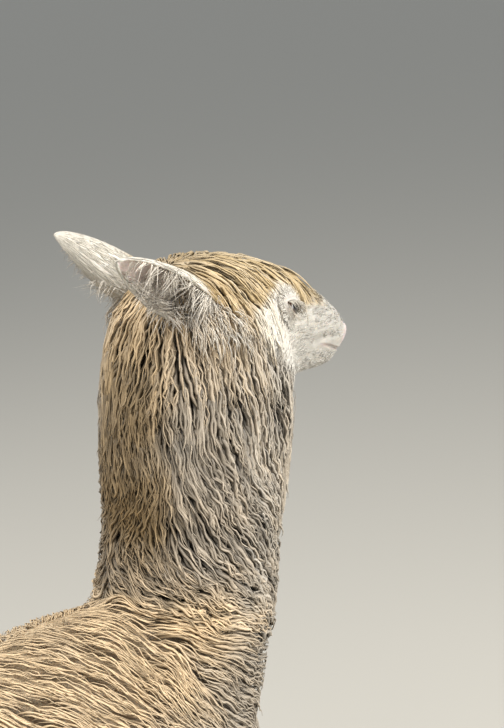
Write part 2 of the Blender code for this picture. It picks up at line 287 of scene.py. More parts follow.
# ---- skin ----
# One unbroken hide over the whole body, ears included, so no seam shows. Where fleece covers it, it lies sunk
# and plain. The face is bare but for short hair, so its lids, nostrils and lips are shaped here.
EYE = (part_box("eye_r")[1].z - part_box("eye_r")[0].z) / 2  # radius of the ball
LID = 0.0016  # thickness of an eyelid
SLIT = 0.70  # half length of the open eye, in eye radii
SLIT_UP, SLIT_DOWN = 0.36, 0.30  # how far it opens, in eye radii

skin_bm = outline
for vert, co in zip(skin_bm.verts, OUTER - OUTWARD * DEPTH[:, None]):
    vert.co = co
refine(skin_bm, round_the_face)
even(skin_bm, 10, round_the_face)
refine(skin_bm, round_eyes_and_lips)
even(skin_bm, 8, round_eyes_and_lips)


def mirrored(route):
    return [[(side * x, y, z) for x, y, z in route] for side in (-1, 1)]


skin_bm.normal_update()
points = np.array([vert.co for vert in skin_bm.verts])
normals = np.array([vert.normal for vert in skin_bm.verts])


def beside(points, route):
    """How far points lie from a route in the head's frame."""
    near = np.full(len(points), np.inf)
    route = from_head(route)
    for a, b in zip(route, route[1:]):
        along = np.clip(((points - a) @ (b - a)) / ((b - a) @ (b - a)), 0, 1)
        near = np.minimum(near, norms(points - a - along[:, None] * (b - a)))
    return near


def sink(route, depth, half, rim=0.0):
    """Moves the skin in along a route, by depth in the middle, and raises a rim beside it."""
    global points
    near = beside(points, route)
    push = rim * bell(near - 2.1 * half, half) - depth * bell(near, half)
    points = points + normals * push[:, None]


NOSTRILS = mirrored([(0.0060, -0.2110, -0.0500), (0.0095, -0.2085, -0.0425), (0.0150, -0.2030, -0.0385),
                     (0.0195, -0.1950, -0.0400)])
LIPS = mirrored([(0.0, -0.2110, -0.0605), (0.0110, -0.2080, -0.0618), (0.0200, -0.1995, -0.0620),
                 (0.0262, -0.1870, -0.0605), (0.0300, -0.1740, -0.0590), (0.0325, -0.1650, -0.0585)])
for nostril in NOSTRILS:
    sink(nostril, 0.0042, 0.0019, 0.0006)
for lips in LIPS:
    sink(lips, 0.0028, 0.0014, 0.0003)
sink([(0, -0.2110, -0.0500), (0, -0.2120, -0.0605)], 0.0018, 0.0011, 0.0003)
sink([(-0.020, -0.196, -0.031), (0, -0.206, -0.027), (0.020, -0.196, -0.031)], 0.0024, 0.0045)
sink([(-0.012, -0.188, -0.016), (0, -0.192, -0.013), (0.012, -0.188, -0.016)], -0.0014, 0.0060)
for fold in mirrored([(0.0250, -0.1850, -0.0440), (0.0290, -0.1700, -0.0480), (0.0320, -0.1560, -0.0560)]):
    sink(fold, 0.0012, 0.0040, 0.0004)
for duct in mirrored([(0.0365, -0.1120, -0.0300), (0.0335, -0.1250, -0.0330), (0.0305, -0.1380, -0.0350)]):
    sink(duct, 0.0016, 0.0034, 0.0005)

SIGNS = {"r": -1, "l": 1}


def eye_axes(sign):
    """Where the open eye faces, the way of its slit towards the nose, and up across it."""
    look = HEAD_AXES @ np.array((sign * 0.88, -0.46, 0.10))
    look /= np.linalg.norm(look)
    front = HEAD_AXES @ np.array((0, -1, -0.30))
    front -= look * (front @ look)
    front /= np.linalg.norm(front)
    up = np.cross(front, look)
    return look, front, up * np.sign(up @ HEAD_AXES[:, 2])


for side, sign in SIGNS.items():
    centre = SOCKETS[side]
    look, front, up = eye_axes(sign)
    off = points - centre
    reach = norms(off)
    away = off / reach[:, None]
    x, y = away @ front, away @ up
    open_by = np.where(y > 0, SLIT_UP, SLIT_DOWN) * np.clip(1 - (x / SLIT) ** 2, -4, 1)
    edge = np.abs(y) - open_by  # below 0 inside the open eye
    lid = EYE + LID * ramp(edge, -0.02, 0.07) - 0.0045 * ramp(-edge, 0.0, 0.06)
    lid = lid - 0.0003 * bell(edge - 0.26, 0.05)
    blend = ramp(edge, 0.12, 0.85) * ramp(np.abs(y) + 0.6 * np.abs(x), 0.25, 0.70)
    target = lid * (1 - blend) + np.maximum(reach, EYE + 0.4 * LID) * blend
    facing = ramp(away @ look, 0.05, 0.30) * (reach < EYE + 0.014)
    reach = reach * (1 - facing) + target * facing
    points = centre + away * reach[:, None]

for vert, co in zip(skin_bm.verts, points):
    vert.co = co
even(skin_bm, 2, round_eyes_and_lips)
skin = object_of(skin_bm, "skin")

EAR_LENGTH, EAR_WIDE = 0.128, 0.0245
EAR_SPAN = EAR_LENGTH + 0.018  # from its foot, which is sunk in the head, to its tip
EAR_FOOT, EAR_FLAT = 0.020, 0.80  # how deep the foot lies, and how flat the ear is pressed
EAR_ROOT, EAR_MOUTH = Vector((0.045, -0.004, -0.038)), Vector((0.80, 0, -0.60))
EAR_OUT, EAR_IN = 0.0009, 0.0033  # how far its outer and inner skin lie below the tips of its hair
EAR_CURL = math.radians(140)  # how far round its foot reaches, to each side
EAR_RINGS, EAR_ARC = 30, 13
HIDDEN, THINNED = 0.0065, 0.84  # the depth below which the hide is thinned, and the share of faces that goes


def ear_frame(sign):
    """An ear laid back: origin at its root, +Z to its tip, -Y out of its mouth."""
    root, mouth = (Vector((sign * v.x, v.y, v.z)) for v in (EAR_ROOT, EAR_MOUTH))
    tip = Vector((sign * 0.13, 0.95, 0.27 + sign * 0.03)).normalized()
    mouth = (mouth - tip * mouth.dot(tip)).normalized()
    turn = Matrix((tip.cross(mouth), -mouth, tip)).transposed().to_4x4()
    return HEAD_FRAME @ Matrix.Translation(root) @ turn


def ear_width(share):
    return EAR_WIDE * np.sin(math.pi * (0.07 + 0.93 * np.clip(share, 0, 1))).clip(0) ** 0.60 + 0.0012


def ear_cup(share):
    return 0.006 * np.sin(math.pi * np.clip(share, 0, 1))


def ear_point(sign, share, turn, below):
    """A point of an ear. share runs from its foot, 0, to its tip, 1, turn from edge, -1, to edge, 1."""
    wide = ear_width(share)
    shell = max(wide - below, 0.0004)
    angle = EAR_CURL * (1 - 0.50 * max(share, 0)) * turn * (1 - 0.0009 / wide)
    height = EAR_SPAN * share - EAR_FOOT
    across, out = shell * math.sin(angle), shell * math.cos(angle) * EAR_FLAT - ear_cup(share)
    return ear_frame(sign) @ Vector((across, out, height))


for sign in (-1, 1):
    ear = bmesh.new()
    loops = []
    for i in range(EAR_RINGS):
        share = -0.16 + 1.15 * i / (EAR_RINGS - 1)
        turns = [2 * k / (EAR_ARC - 1) - 1 for k in range(EAR_ARC)]
        row = [ear_point(sign, share, turn, EAR_OUT) for turn in turns]
        row += [ear_point(sign, share, turn, EAR_IN) for turn in turns[::-1]]
        verts = [ear.verts.new(co) for co in row]
        loops.append([ear.edges.new((a, b)) for a, b in zip(verts, verts[1:] + verts[:1])])
    for low, high in zip(loops, loops[1:]):
        bmesh.ops.bridge_loops(ear, edges=low + high)
    bmesh.ops.contextual_create(ear, geom=loops[0])
    bmesh.ops.contextual_create(ear, geom=loops[-1])
    bmesh.ops.subdivide_edges(ear, edges=ear.edges, cuts=1, use_grid_fill=True, smooth=0.4)
    bmesh.ops.triangulate(ear, faces=ear.faces)
    bmesh.ops.recalc_face_normals(ear, faces=ear.faces)
    ear = object_of(ear, "ear_skin")
    join = skin.modifiers.new("ear", "BOOLEAN")
    join.operation, join.solver, join.object = "UNION", "MANIFOLD", ear
    mesh = evaluated(skin)
    skin.modifiers.clear()
    skin.data = mesh
    bpy.data.objects.remove(ear)

# Under the fleece the hide is never seen, so its faces are thinned there.
covered = skin.vertex_groups.new(name="covered")
places = np.array([vert.co for vert in skin.data.vertices])
over, outward, _ = on_outline(places)
sunk = np.flatnonzero(((over - places) * outward).sum(axis=1) > HIDDEN)
for index in sunk.tolist():
    covered.add([index], 1.0, "REPLACE")
thin = skin.modifiers.new("thin", "DECIMATE")
thin.ratio, thin.vertex_group = 1 - THINNED * len(sunk) / len(places), "covered"
mesh = evaluated(skin)
skin.modifiers.clear()
skin.vertex_groups.clear()
skin.data = mesh
skin.data.name = "skin"
skin.data.shade_smooth()
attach(skin, "root")
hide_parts(*FLESH, "ear_l", "ear_r")

# ---- colours of the coat ----
# Fawn fleece, yellower along the nape, the crown and the back where the sun has bleached it, and greyer down
# the front of the neck. The face, throat and ears are white. Skin and locks take their colour from here.


def linear(code):
    """An sRGB hex colour in linear light."""
    value = np.array([int(code[i:i + 2], 16) / 255 for i in (1, 3, 5)])
    return np.where(value <= 0.04045, value / 12.92, ((value + 0.055) / 1.055) ** 2.4)


FAWN, TAN, STRAW, DUN, GREY_FAWN, WHITE = (
    linear(code) for code in ("#9c907f", "#8a7350", "#ccb18a", "#a48d65", "#938a7c", "#cbc4b7"))
# Two of these colours are painted shade: the dark inside the nostrils, and the dark brown that the hide takes
# deep between the locks.
INNER_EAR, NOSE, NOSTRIL_SHADE, LIP, LID_EDGE, SHADE_BETWEEN_LOCKS = (
    linear(code) for code in ("#d0b4b0", "#d2bcbb", "#4d3a37", "#957d76", "#75655b", "#4a3c2e"))


def mix(first, second, share):
    """From the first colour to the second, for each share from 0 to 1."""
    share = np.asarray(share)[:, None]
    return first * (1 - share) + second * share


def wander(points, size, seed):
    """A slow random change over the body, mostly between -1 and 1. size is its wavelength in metres."""
    rng = np.random.default_rng(seed)
    total = np.zeros(len(points))
    for _ in range(5):
        wave = rng.normal(size=3)
        wave *= math.tau / size * rng.uniform(0.6, 1.5) / np.linalg.norm(wave)
        total += np.sin(points @ wave + rng.uniform(0, math.tau))
    return total / 2.2


def white_of_face(points):
    """1 on the white face and throat, 0 on the fawn coat."""
    head = in_head(points)
    edge = 0.010 * wander(points, 0.05, 3)
    before = ramp(-behind_face(head) + edge, -0.008, 0.008)
    crown = ramp(above_face(head) + 0.3 * edge, -0.005, 0.005) * ramp(head[:, 1], -0.172, -0.152)
    below = ramp(head[:, 2], -0.140, -0.110)
    return before * (1 - crown) * below


def coat_colour(points, outward):
    head, z = in_head(points), points[:, 2]
    nape = ramp(outward[:, 1], 0.72, 0.92) * ramp(z, 0.76, 0.84)
    top = ramp(outward[:, 2], 0.10, 0.60) * ramp(z, 0.60, 0.70)
    low_nape = ramp(outward[:, 1], -0.10, 0.50) * ramp(-z, -0.80, -0.74) * ramp(z, 0.62, 0.70)
    crown = ramp(head[:, 2], -0.050, -0.020) * ramp(-head[:, 1], -0.05, 0.01)
    front = ramp(-outward[:, 1], 0.70, 0.98) * ramp(-z, -0.90, -0.80)
    straw = np.maximum(np.maximum(low_nape, top), crown)
    colour = mix(FAWN, TAN, np.clip(0.9 * nape + 0.15 * wander(points, 0.14, 5), 0, 1))
    colour = mix(colour, STRAW, np.clip(straw + 0.12 * wander(points, 0.07, 6), 0, 1))
    colour = mix(colour, DUN, crown)
    grey = 0.8 * front + 0.30 * wander(points, 0.08, 8) * (1 - straw)
    colour = mix(colour, GREY_FAWN, np.clip(grey, 0, 1))
    # The white is painted darker towards the nose: painted shade that tones down the light falling on the
    # front of the face.
    white = WHITE * (0.93 - 0.24 * ramp(-head[:, 1], 0.100, 0.150))[:, None]
    share = white_of_face(points)[:, None]
    return colour * (1 - share) + white * share


# ---- finish of skin and coat ----
# The hide shows only through short flat hair, and the fleece is long wavy fibre with a silky lustre. Both
# take the colour that their points carry, and the finish itself makes it finely darker and lighter.
HIDE_GRAIN = (900, 260, 420)  # streaks in a metre, 1.1 to 3.8 mm each, coarser than hair so that they show
HIDE_PATCHES = 70.0  # in a metre, 14 mm each
FIBRE_GRAIN = (11, 1.4, 1)  # streaks round a lock and in a centimetre of it, coarser than fibre to show
MOSTLY = {"From Min": 0.3, "From Max": 0.7}  # where most values of a noise lie


def first_output(source):
    return source.outputs[0] if isinstance(source, bpy.types.Node) else source


def node(tree, kind, links=(), **values):
    """Adds a node with its settings and links. A link from a node is one from its first output."""
    made = tree.nodes.new("ShaderNode" + kind)
    for key, value in values.items():
        if key in made.inputs:
            made.inputs[key].default_value = value
        else:
            setattr(made, key, value)
    for key, source in dict(links).items():
        tree.links.new(first_output(source), made.inputs[key])
    return made


def material(name, **settings):
    """A new material, its node tree and its shader, which takes the settings."""
    made = bpy.data.materials.new(name)
    made.use_nodes = True
    shader = made.node_tree.nodes["Principled BSDF"]
    for key, value in settings.items():
        shader.inputs[key].default_value = value
    return made, made.node_tree, shader


def tinted(tree, shader, shade):
    """The shader's colour is the one that the piece's points carry, made darker and lighter by shade."""
    tint = node(tree, "Attribute", attribute_name="coat")
    coloured = node(tree, "VectorMath", {0: tint, "Scale": shade}, operation="SCALE")
    tree.links.new(coloured.outputs[0], shader.inputs["Base Color"])


def give_tint(mesh, colour):
    """Each point of the mesh carries its colour."""
    tint = mesh.color_attributes.new("coat", "FLOAT_COLOR", "POINT")
    tint.data.foreach_set("color", np.concatenate([colour, np.ones((len(colour), 1))], 1).ravel())


# The hide's short flat hair is a fine broken bump on the colour of the coat.
hide_look, tree, shader = material("short_haired_hide", **{
    "Roughness": 0.62, "Subsurface Weight": 0.12, "Subsurface Radius": (0.004, 0.002, 0.001)})
where = node(tree, "TexCoord").outputs["Object"]
lie = node(tree, "Mapping", {"Vector": where}, Scale=HIDE_GRAIN)
hairs = node(tree, "TexNoise", {"Vector": lie}, Scale=1.0, Detail=4.0, Roughness=0.62)
spots = node(tree, "TexNoise", {"Vector": where}, Scale=HIDE_PATCHES, Detail=3.0)
shade = node(tree, "MapRange", {"Value": hairs}, **MOSTLY, **{"To Min": 0.90, "To Max": 1.06})
patch = node(tree, "MapRange", {"Value": spots}, **MOSTLY, **{"To Min": 0.82, "To Max": 1.08})
tinted(tree, shader, node(tree, "Math", {0: shade, 1: patch}, operation="MULTIPLY"))
raised = node(tree, "Bump", {"Height": hairs}, Strength=0.45, Distance=0.0008)
tree.links.new(raised.outputs[0], shader.inputs["Normal"])
skin.data.materials.clear()
skin.data.materials.append(hide_look)

places = np.array([vert.co for vert in skin.data.vertices])
over, outward, _ = on_outline(places)
sunk = ((over - places) * outward).sum(axis=1)
# The hide is painted darker the deeper it lies under the fleece: painted shade for the gaps between the
# locks, weaker on the trunk and under the white face.
shade_under_locks = (0.90 - 0.40 * ramp(over[:, 1], -0.26, -0.12)) * ramp(sunk, 0.004, 0.012)
shade_under_locks = shade_under_locks * (1 - 0.8 * white_of_face(over))
tone = mix(coat_colour(over, outward), SHADE_BETWEEN_LOCKS, shade_under_locks)
head = in_head(places)
nose = ramp(-head[:, 1], 0.192, 0.207) * ramp(head[:, 2], -0.064, -0.050)
tone = mix(tone, NOSE, 0.85 * nose)
# The slit of each nostril is painted dark: painted shade in the recess.
for nostril, lips in zip(NOSTRILS, LIPS):
    tone = mix(tone, NOSTRIL_SHADE, 0.85 * ramp(-beside(places, nostril), -0.0036, -0.0020))
    tone = mix(tone, LIP, 0.55 * ramp(-beside(places, lips), -0.0030, -0.0016))
for side, sign in SIGNS.items():
    off = norms(places - SOCKETS[side])
    tone = mix(tone, LID_EDGE, 0.8 * ramp(-off, -EYE - 0.0016, -EYE - 0.0008))
    tone = mix(tone, LID_EDGE, 0.16 * ramp(-off, -EYE - 0.0080, -EYE - 0.0030))
    own = np.array(ear_frame(sign).inverted())
    local = places @ own[:3, :3].T + own[:3, 3]
    share = (local[:, 2] + EAR_FOOT) / EAR_SPAN
    across, out = local[:, 0], (local[:, 1] + ear_cup(share)) / EAR_FLAT
    shell, wide = np.hypot(across, out), ear_width(share)
    on_ear = ((sunk < -0.002) | (share > 0.35)) & (share > -0.1)
    on_ear &= (shell < wide + 0.003) & (head[:, 1] > -0.03)
    inner = on_ear & (shell < wide - (EAR_OUT + EAR_IN) / 2)
    edge = ramp(np.abs(np.arctan2(across, out)) / (1 - 0.5 * share.clip(0, 1)), 1.5, 2.1)
    foot = (ramp(share, 0.42, 0.22) * ramp(-local[:, 0] * sign, -0.006, 0.004))[:, None]
    tone = np.where(on_ear[:, None], WHITE * (1 - foot) + DUN * foot, tone)
    # Inside the cup the skin is pink, whiter towards the rims, and painted a third brighter: painted light
    # where the rim shades the cup.
    tone = np.where(inner[:, None], 1.3 * mix(INNER_EAR, WHITE, 0.62 + 0.38 * edge), tone)
give_tint(skin.data, tone)

# Suri fleece is fine straight fibre in a twisted lock, so it has a soft lustre and lines along the lock.
fleece_look, tree, shader = material("suri_fleece", **{"Roughness": 0.50, "Specular IOR Level": 0.35})
with_lock = node(tree, "UVMap", uv_map="strand").outputs["UV"]
drawn = node(tree, "Mapping", {"Vector": with_lock}, Scale=FIBRE_GRAIN)
fibres = node(tree, "TexNoise", {"Vector": drawn}, Scale=1.0, Detail=3.0, Roughness=0.6)
shade = node(tree, "MapRange", {"Value": fibres}, **MOSTLY, **{"To Min": 0.72, "To Max": 1.18})
tinted(tree, shader, shade)
raised = node(tree, "Bump", {"Height": fibres}, Strength=0.5, Distance=0.0006)
tree.links.new(raised.outputs[0], shader.inputs["Normal"])

# ---- fleece ----
# Long separate locks, each a crimped twist of fine hair rooted in the skin. They hang down the neck and the
# flanks, part left of the spine, and fall over the head from a whorl behind the crown. Each is a closed
# three-sided tube that tapers to its tip.
LOCK_RINGS = 19
TRUNK_LINE = 0.675  # height of the line between neck and trunk, at the front of the neck
KINK = 0.0205  # metres from crest to crest of the crimp
SWING = 0.0026  # how far the crimp throws a full lock to each side
BUNCH = 7  # locks that share a tip
TIP_HIGH, TIP_LOW = 0.0008, 0.0068  # how far below the outline the tips of the locks end
BLEACHED = 0.42  # how white the sun has made the palest locks
BAKE_PATCH = 0.003  # each lock's share of the OFBake map
SOLE = 0.003  # no lock lies lower, so none goes into the ground


def way(points, outward):
    """Which way the coat lies at these places."""
    head = in_head(points)
    x, y, z = points.T
    nape = ramp(outward[:, 1], 0.55, 0.95)
    on_trunk = ramp(TRUNK_LINE + 0.62 * (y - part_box("neck")[0].y) - z, -0.08, 0.06)
    down_neck = ramp(-z, -1.00, -0.86), ramp(-z, -0.86, -0.70)
    neck_slant = -(0.14 + 0.22 * down_neck[0] + 0.68 * down_neck[1]) * (1 - nape)
    fore = ramp(-y, -0.22, -0.04)
    ribs_slant = -(0.55 * ramp(z, 0.40, 0.52) + 0.9 * ramp(z, 0.56, 0.70)) * fore
    ribs_slant = ribs_slant + 0.25 * ramp(y, 0.12, 0.35)
    slant = neck_slant * (1 - on_trunk) + ribs_slant * on_trunk
    under = ramp(-outward[:, 2], 0.35, 0.80)
    slant = slant * (1 - under) + 1.0 * under
    low_nape = nape * ramp(-z, -0.84, -0.74)
    top = ramp(outward[:, 2], 0.05, 0.60) * np.maximum(on_trunk, ramp(-z, -0.82, -0.74))
    off_spine = x - PARTING * ramp(-z, -0.84, -0.76) + 0.012 * wander(points, 0.15, 22)
    slant = slant + 0.7 * low_nape + 1.3 * top * bell(off_spine, 0.020)
    aside = (2.2 * top * np.tanh(off_spine / 0.018) + 0.9 * low_nape * np.tanh(off_spine / 0.035))
    hanging = np.stack([aside, slant, -np.ones(len(points))], 1)
    crown = ramp(outward @ HEAD_AXES[:, 2], 0.15, 0.75)
    parted = np.stack([np.tanh(head[:, 0] / 0.015) * (0.10 + 0.42 * crown), -0.34 - 0.62 * crown,
                       -0.95 + 0 * crown], 1)
    on_head = (ramp(head[:, 1], 0.045, -0.010) * ramp(head[:, 2], -0.110, -0.060))[:, None]
    chosen = hanging * (1 - on_head) + (parted @ HEAD_AXES.T) * on_head
    swirl = (0.20 + 0.04 * on_trunk + 0.15 * low_nape) * wander(points, 0.09, 21)
    curly = np.maximum(0.7 * low_nape, top * bell(off_spine, 0.030))
    swirl = swirl + 0.6 * curly * wander(points, 0.035, 23)
    return chosen + swirl[:, None] * np.cross(outward, chosen)


def crimp(points, outward):
    """How strongly the locks are crimped: strongly on the back and the low neck, faintly on the crown."""
    head, z = in_head(points), points[:, 2]
    amount = 0.55 + 0.30 * ramp(-z, -0.93, -0.75)
    amount = amount + 0.30 * ramp(outward[:, 1], 0.4, 0.9) * ramp(-z, -0.95, -0.85)
    amount = amount * (1 - 0.45 * ramp(head[:, 2], -0.10, -0.03) * ramp(-head[:, 1], -0.05, 0.02))
    return amount * (1 + 0.35 * wander(points, 0.08, 31))


def along(direction, outward):
    """The direction at length 1, laid along the surface."""
    return unit(direction - outward * (direction * outward).sum(axis=1, keepdims=True))


def rooted(weight, count, rng):
    """Evenly strewn places on the outline. weight is a value for each of its faces."""
    a, b, c = (OUTER[TRIS[:, k]] for k in range(3))
    share = np.cumsum(area(a, b, c) * weight)
    picks = np.searchsorted(share, (np.arange(count) + rng.uniform(size=count)) / count * share[-1])
    picks = np.minimum(picks, len(TRIS) - 1)
    u, v = rng.uniform(size=(2, count))
    over = u + v > 1
    u[over], v[over] = 1 - u[over], 1 - v[over]
    return a[picks] + u[:, None] * (b - a)[picks] + v[:, None] * (c - a)[picks]


def steps(rings):
    """Shares of a lock's length at its rings, with few on the third that its neighbours hide."""
    if rings <= 6:
        return np.linspace(0, 1, rings)
    return np.concatenate([[0, 0.14], np.linspace(0.28, 1, rings - 2)])


def comb(roots, length, rings, flow):
    """Walks each root along the outline as the coat lies. Gives places and outward directions by ring."""
    place, outward, depth = on_outline(roots)
    heading = along(flow(place, outward), outward)
    places, outs = [place], [outward]
    for step in np.diff(steps(rings)):
        heading = along(0.45 * heading + 0.55 * along(flow(place, outward), outward), outward)
        place, outward, _ = on_outline(place + heading * (length * step)[:, None])
        places.append(place)
        outs.append(outward)
    return np.stack(places, 1), np.stack(outs, 1), depth


def tubes(name, places, outs, wide, thick, colour, chart):
    """Joins three-sided closed tubes into one piece. places is lock by ring, wide and thick are the sizes of
    each ring, colour is lock by ring by corner, and chart holds each root's place on the skin's unwrap."""
    locks, rings = places.shape[:2]
    forward = unit(np.gradient(places, axis=1))
    sideways = unit(np.cross(forward, outs))
    ridge = np.cross(sideways, forward)
    corners = []
    for angle in (90, 210, 330):
        turn = math.radians(angle)
        corners.append(places + sideways * (wide * 0.577 * math.cos(turn))[:, :, None]
                       + ridge * (thick * 0.667 * math.sin(turn))[:, :, None])
    verts = np.stack(corners, 2).reshape(-1, 3)
    start = (np.arange(locks) * rings * 3)[:, None, None]
    ring, corner = np.arange(rings - 1)[None, :, None], np.arange(3)[None, None, :]
    one, two = start + ring * 3 + corner, start + ring * 3 + (corner + 1) % 3
    sides = np.stack([one, two, two + 3, one + 3], -1).reshape(-1, 4)
    first = (start[:, 0] + np.array([2, 1, 0])).reshape(-1, 3)
    last = (start[:, 0] + (rings - 1) * 3 + np.array([0, 1, 2])).reshape(-1, 3)
    loops = np.concatenate([sides.ravel(), first.ravel(), last.ravel()])
    sizes = np.concatenate([np.full(len(sides), 4), np.full(2 * locks, 3)])
    mesh = bpy.data.meshes.new(name)
    mesh.vertices.add(len(verts))
    mesh.vertices.foreach_set("co", verts.ravel())
    mesh.loops.add(len(loops))
    mesh.loops.foreach_set("vertex_index", loops)
    mesh.polygons.add(len(sizes))
    mesh.polygons.foreach_set("loop_start", np.concatenate([[0], np.cumsum(sizes)[:-1]]))
    mesh.update(calc_edges=True)
    mesh.shade_smooth()
    give_tint(mesh, colour.reshape(-1, 3))
    which, level = loops // (rings * 3), loops % (rings * 3) // 3
    round_it = (loops % 3) / 3
    closing = np.arange(len(sides) * 4).reshape(-1, 4)[sides[:, 0] % 3 == 2]
    round_it[closing[:, 1]] = round_it[closing[:, 2]] = 1.0
    run = np.cumsum(norms(np.diff(places, axis=1, prepend=places[:, :1])), axis=1)
    strand = mesh.uv_layers.new(name="strand")  # round the lock, and centimetres down it
    strand.data.foreach_set("uv", np.stack([round_it + which % 97, run[which, level] / 0.01], 1).ravel())
    patch = mesh.uv_layers.new(name="OFBake")
    inside = np.stack([round_it, level / (rings - 1)], 1) - 0.5
    patch.data.foreach_set("uv", (chart[which] + BAKE_PATCH * inside).ravel())
    strand.active_render = True
    mesh.materials.append(fleece_look)
    made = placed(name, mesh)
    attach(made, "root")
    return made


def charted(first, second):
    """Two measures of the skin's own unwrap, spread over the whole map."""
    grid = np.stack([first, second], 1)
    low, high = grid.min(axis=0), grid.max(axis=0)
    return 0.01 + 0.98 * (grid - low) / (high - low)


def coarse(points):
    """1 on the neck, less on the shoulders and the back, and more towards the rump."""
    return 1 - 0.22 * ramp(points[:, 1], -0.24, -0.14) + 0.50 * ramp(points[:, 1], 0.04, 0.24)


def lock_length(points, depth):
    return (0.012 + 3.2 * depth) * coarse(points)


def lock_girth(points, depth):
    return (0.0022 + 0.110 * depth) * coarse(points)


def same(value):
    return lambda points, _: np.full(len(points), value)


def times(factor, measure):
    return lambda points, other: factor * measure(points, other)


def grow(name, weight, count, seed, chart, flow=way, curl=crimp, length=lock_length, girth=lock_girth,
         rings=LOCK_RINGS, stray=0.08, fine=0.25, bunching=0.68, contrast=1.0, flat=0.62, proud=0.0):
    """One piece of fleece: its locks, their colours and its map. stray is the share of locks that lift their
    tips, fine the share of thin loose strands on top, and proud how far it stands above the outline."""
    rng = np.random.default_rng(seed)
    roots = rooted(weight, count, rng)
    _, _, depth = on_outline(roots)
    run = length(roots, depth) * rng.uniform(0.70, 1.28, count)
    places, outs, depth = comb(roots, run, rings, flow)
    share = steps(rings)[None]
    thin = rng.uniform(size=count) < fine
    guides = places[::BUNCH]  # each draws its neighbours' tips to its own, with dark gaps between bunches
    middle = rings // 2
    owner = [np.argmin(((guides[:, middle] - place) ** 2).sum(axis=1)) for place in places[:, middle]]
    near = norms(guides[owner][:, middle] - places[:, middle]) < 0.02
    pull = (bunching * share ** 1.2 * (near * np.where(thin, 0.3, 1.0))[:, None])[:, :, None]
    places = places * (1 - pull) + guides[owner] * pull

    risen_at = np.where(thin, 0.20, 0.32) * np.clip(depth / 0.018, 0.25, 1)
    rise = np.clip(share / risen_at[:, None], 0, 1) ** 0.8
    tip_depth = np.minimum(rng.uniform(TIP_HIGH, TIP_LOW, count), 0.7 * depth) * np.where(thin, 0.15, 1.0)
    close = ramp(-depth, -0.013, -0.006)  # short hair lies against the hide
    tip_depth = tip_depth * (1 - close) + np.maximum(tip_depth, depth - 0.0018) * close
    lift = (rng.uniform(size=count) < stray) * rng.uniform(0.3, 1.0, count) * np.minimum(0.006, 0.3 * depth)
    below = depth[:, None] * (1 - rise) + tip_depth[:, None] * rise
    below = np.maximum(below, 0.0002) - lift[:, None] * ramp(share, 0.55, 1.0)
    sideways = unit(np.cross(np.gradient(places, axis=1), outs))
    beat = KINK * rng.uniform(0.70, 1.40, count) * (1 + 0.6 * ramp(places[:, 0, 1], -0.26, -0.16))
    phase = -places[:, 0, 2] / KINK + 1.1 * wander(places[:, 0], 0.06, 4) + 0.20 * rng.normal(size=count)
    turn = math.tau * (phase[:, None] + share * (run / beat)[:, None])
    root_places, root_outs = places[:, 0], outs[:, 0]
    swing = SWING * curl(root_places, root_outs) * np.clip(depth / 0.02, 0.1, 1)
    swing = (swing * rng.uniform(0.35, 1.6, count))[:, None] * ramp(share, 0.05, 0.45)
    swing = swing * (1 + 0.4 * np.sin(1.7 * turn + 3 * phase[:, None]))
    places = places + sideways * (swing * np.sin(turn))[:, :, None]
    places = places - outs * (below - proud - 0.6 * swing * np.cos(turn))[:, :, None]
    places[:, :, 2] = np.maximum(places[:, :, 2], SOLE)

    taper = np.clip(0.45 + 2.2 * share, 0, 1) * (1 - 0.85 * ramp(share, 0.60, 1.0))
    taper = taper * (1 - 0.14 * np.cos(turn))
    wide = girth(root_places, depth) * rng.uniform(0.50, 1.45, count) * np.where(thin, 0.60, 1.0)
    wide = wide[:, None] * taper
    local = coat_colour(places.reshape(-1, 3), outs.reshape(-1, 3)).reshape(places.shape)
    tone = 0.35 * coat_colour(root_places, root_outs)[:, None] + 0.65 * local
    contrast = contrast * (1 - 0.75 * white_of_face(root_places))  # white hair lets the light through
    # Each lock is painted darker towards its root, the more so the higher its contrast: painted shade deep in
    # the fleece.
    root_shade = 1.10 - contrast[:, None] * 0.80 * ramp(-share, -0.70, 0.0)
    # Each lock's brightness differs at random, and a lock whose tip lies deeper is painted darker: painted
    # shade.
    tone_and_depth_shade = 1 + contrast * (rng.uniform(-0.22, 0.28, count) + 0.14 - 0.42 * tip_depth / TIP_LOW)
    bleached = BLEACHED * contrast * rng.uniform(size=count) ** 1.5 * ramp(-root_outs[:, 1], -0.45, -0.15)
    bleached = bleached[:, None, None]
    tone = tone * (tone_and_depth_shade[:, None] * root_shade)[:, :, None]
    tone = tone * (1 - bleached) + bleached * WHITE * root_shade[:, :, None]
    # The crest of each lock is painted lighter and its two lower sides darker: painted highlight and painted
    # shade.
    corners = 1 + contrast[:, None] * np.array([0.18, -0.42, -0.42])
    made = tubes(name, places, outs, wide, wide * flat, tone[:, :, None] * corners[:, None, :, None],
                 chart(root_places))
    return made


PART_OF_FACE = PART[TRIS[:, 0]]
MIDDLE = OUTER[TRIS].mean(axis=1)
THICK = DEPTH[TRIS].mean(axis=1)
COVER = 1 / (lock_girth(MIDDLE, THICK) * lock_length(MIDDLE, THICK))
NECK_SPINE, TAIL_SPINE, TRUNK_SPINE = -0.28, 0.44, 0.57  # middles: two from front to back, the last a height
NECK_HALFWAY, TRUNK_HALFWAY = 0.86, (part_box("trunk")[0].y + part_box("trunk")[1].y) / 2
SHOULDER_HOLLOW = (0.080, 0.179, 0.706)  # between shoulder and neck on both sides, where gaps would show
NECK_LOCKS, FORE_LOCKS, HIND_LOCKS, CROWN_LOCKS, TAIL_LOCKS, LEG_LOCKS = 900, 2450, 2200, 1750, 320, 1180

